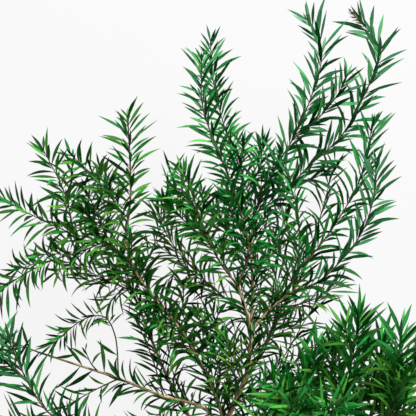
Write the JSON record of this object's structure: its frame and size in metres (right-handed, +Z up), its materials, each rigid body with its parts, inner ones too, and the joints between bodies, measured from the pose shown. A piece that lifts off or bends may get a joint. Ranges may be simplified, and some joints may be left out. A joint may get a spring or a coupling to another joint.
{
  "type": "preserved black tea tree stem",
  "caption": "Cut branch with a woody stem, forking limbs and leafy sprays of narrow pointed green leaves, lying on its back; dried or preserved greenery for arrangements",
  "frame": {"origin": "on the surface that the stem lies on, under the middle of its bounding box", "axes": "+Y along the stem from the cut end to the tips, +Z up off the surface, +X to the right with the tips pointing away"},
  "size_m": [0.3641, 0.5662, 0.1433],
  "materials": {
    "bark": "dull, finely ridged tan to red-brown bark",
    "leaf": "leathery deep green with a soft sheen"
  },
  "bodies": {
    "root": {"woody_stem": "bark", "spray_front_left": "leaf", "spray_tall_centre": "leaf", "spray_right_outer": "leaf", "spray_right_inner": "leaf", "spray_top_right": "leaf", "spray_top_middle": "leaf", "spray_top_left": "leaf", "spray_left_upright": "leaf", "spray_left_outer": "leaf", "spray_left_inner": "leaf", "spray_low_left_tip": "leaf", "spray_low_left_rise": "leaf", "spray_low_left_sprig": "leaf", "spray_low_left_under": "leaf", "spray_low_left_inner": "leaf", "spray_low_left_near": "leaf", "spray_low_left_below": "leaf", "spray_back_of_front": "leaf", "spray_trunk_left": "leaf", "spray_trunk_low_left": "leaf", "spray_trunk_inner": "leaf", "spray_back_limb_right": "leaf", "spray_back_limb_left": "leaf", "spray_right_crotch": "leaf", "spray_right_limb_under": "leaf", "spray_right_middle": "leaf", "spray_bottom_right": "leaf", "spray_bottom_left": "leaf", "spray_bottom_end": "leaf", "spray_front_right_a": "leaf", "spray_front_right_b": "leaf", "spray_front_right_c": "leaf", "spray_front_right_d": "leaf", "spray_front_right_e": "leaf", "spray_front_right_f": "leaf", "spray_front_left_a": "leaf", "spray_front_left_b": "leaf", "spray_back_left": "leaf", "spray_back_right": "leaf"}
  },
  "joints": []
}
